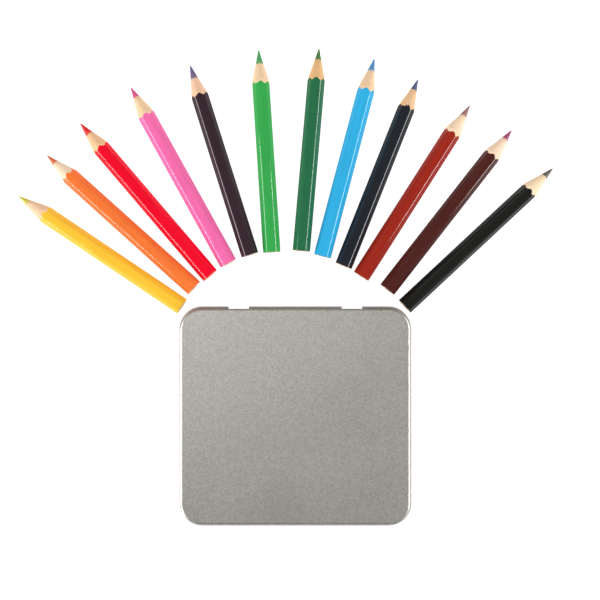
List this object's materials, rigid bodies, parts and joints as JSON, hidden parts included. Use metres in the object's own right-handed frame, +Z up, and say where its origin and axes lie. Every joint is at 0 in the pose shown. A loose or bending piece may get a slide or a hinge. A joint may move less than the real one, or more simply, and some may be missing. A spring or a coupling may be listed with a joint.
{
  "type": "colored pencil tin",
  "caption": "Flat hinged tinplate box with rounded corners and a beaded lid, and half-length hexagonal coloured pencils fanned out behind its hinge.",
  "frame": {"origin": "centre of the box's flat underside, on the surface it rests on", "axes": "+Z up, +Y towards the hinge and the pencils, +X to the right of someone who opens the lid from the front"},
  "size_m": [0.2345, 0.208, 0.013],
  "materials": {
    "tinplate": "satin, fine speckled grain",
    "bare_wood": "bare, freshly cut",
    "yellow_lacquer": "gloss lacquer",
    "yellow_core": "matt, waxy pigment",
    "orange_lacquer": "gloss lacquer",
    "orange_core": "matt, waxy pigment",
    "red_lacquer": "gloss lacquer",
    "red_core": "matt, waxy pigment",
    "pink_lacquer": "gloss lacquer",
    "pink_core": "matt, waxy pigment",
    "violet_lacquer": "gloss lacquer",
    "violet_core": "matt, waxy pigment",
    "light_green_lacquer": "gloss lacquer",
    "light_green_core": "matt, waxy pigment",
    "dark_green_lacquer": "gloss lacquer",
    "dark_green_core": "matt, waxy pigment",
    "light_blue_lacquer": "gloss lacquer",
    "light_blue_core": "matt, waxy pigment",
    "dark_blue_lacquer": "gloss lacquer",
    "dark_blue_core": "matt, waxy pigment",
    "brick_lacquer": "gloss lacquer",
    "brick_core": "matt, waxy pigment",
    "maroon_lacquer": "gloss lacquer",
    "maroon_core": "matt, waxy pigment",
    "black_lacquer": "gloss lacquer",
    "black_core": "matt, waxy pigment"
  },
  "bodies": {
    "base": {"tin_base": "tinplate"},
    "lid": {"tin_lid": "tinplate"},
    "yellow_pencil": {"yellow_lacquer": "yellow_lacquer", "yellow_upper_slat": "bare_wood", "yellow_lower_slat": "bare_wood", "yellow_core": "yellow_core"},
    "orange_pencil": {"orange_lacquer": "orange_lacquer", "orange_upper_slat": "bare_wood", "orange_lower_slat": "bare_wood", "orange_core": "orange_core"},
    "red_pencil": {"red_lacquer": "red_lacquer", "red_upper_slat": "bare_wood", "red_lower_slat": "bare_wood", "red_core": "red_core"},
    "pink_pencil": {"pink_lacquer": "pink_lacquer", "pink_upper_slat": "bare_wood", "pink_lower_slat": "bare_wood", "pink_core": "pink_core"},
    "violet_pencil": {"violet_lacquer": "violet_lacquer", "violet_upper_slat": "bare_wood", "violet_lower_slat": "bare_wood", "violet_core": "violet_core"},
    "light_green_pencil": {"light_green_lacquer": "light_green_lacquer", "light_green_upper_slat": "bare_wood", "light_green_lower_slat": "bare_wood", "light_green_core": "light_green_core"},
    "dark_green_pencil": {"dark_green_lacquer": "dark_green_lacquer", "dark_green_upper_slat": "bare_wood", "dark_green_lower_slat": "bare_wood", "dark_green_core": "dark_green_core"},
    "light_blue_pencil": {"light_blue_lacquer": "light_blue_lacquer", "light_blue_upper_slat": "bare_wood", "light_blue_lower_slat": "bare_wood", "light_blue_core": "light_blue_core"},
    "dark_blue_pencil": {"dark_blue_lacquer": "dark_blue_lacquer", "dark_blue_upper_slat": "bare_wood", "dark_blue_lower_slat": "bare_wood", "dark_blue_core": "dark_blue_core"},
    "brick_pencil": {"brick_lacquer": "brick_lacquer", "brick_upper_slat": "bare_wood", "brick_lower_slat": "bare_wood", "brick_core": "brick_core"},
    "maroon_pencil": {"maroon_lacquer": "maroon_lacquer", "maroon_upper_slat": "bare_wood", "maroon_lower_slat": "bare_wood", "maroon_core": "maroon_core"},
    "black_pencil": {"black_lacquer": "black_lacquer", "black_upper_slat": "bare_wood", "black_lower_slat": "bare_wood", "black_core": "black_core"}
  },
  "joints": [
    {"name": "lid_hinge", "type": "hinge", "parent": "base", "child": "lid", "pos_m": [0, 0.04565, 0.0073], "axis": [-1, 0, 0], "range_deg": [0, 112]},
    {"name": "yellow_pick_up", "type": "slide", "parent": "base", "child": "yellow_pencil", "axis": [-0.5862, 0.3954, 0.7071], "range_m": [0, 0.06]},
    {"name": "orange_pick_up", "type": "slide", "parent": "base", "child": "orange_pencil", "axis": [-0.5255, 0.4731, 0.7071], "range_m": [0, 0.06]},
    {"name": "red_pick_up", "type": "slide", "parent": "base", "child": "red_pencil", "axis": [-0.4592, 0.5377, 0.7071], "range_m": [0, 0.06]},
    {"name": "pink_pick_up", "type": "slide", "parent": "base", "child": "pink_pencil", "axis": [-0.3428, 0.6184, 0.7071], "range_m": [0, 0.06]},
    {"name": "violet_pick_up", "type": "slide", "parent": "base", "child": "violet_pencil", "axis": [-0.2126, 0.6744, 0.7071], "range_m": [0, 0.06]},
    {"name": "light_green_pick_up", "type": "slide", "parent": "base", "child": "light_green_pencil", "axis": [-0.0462, 0.7056, 0.7071], "range_m": [0, 0.06]},
    {"name": "dark_green_pick_up", "type": "slide", "parent": "base", "child": "dark_green_pencil", "axis": [0.0616, 0.7044, 0.7071], "range_m": [0, 0.06]},
    {"name": "light_blue_pick_up", "type": "slide", "parent": "base", "child": "light_blue_pencil", "axis": [0.18, 0.6838, 0.7071], "range_m": [0, 0.06]},
    {"name": "dark_blue_pick_up", "type": "slide", "parent": "base", "child": "dark_blue_pencil", "axis": [0.262, 0.6568, 0.7071], "range_m": [0, 0.06]},
    {"name": "brick_pick_up", "type": "slide", "parent": "base", "child": "brick_pencil", "axis": [0.3799, 0.5964, 0.7071], "range_m": [0, 0.06]},
    {"name": "maroon_pick_up", "type": "slide", "parent": "base", "child": "maroon_pencil", "axis": [0.4353, 0.5572, 0.7071], "range_m": [0, 0.06]},
    {"name": "black_pick_up", "type": "slide", "parent": "base", "child": "black_pencil", "axis": [0.5171, 0.4822, 0.7071], "range_m": [0, 0.06]}
  ]
}
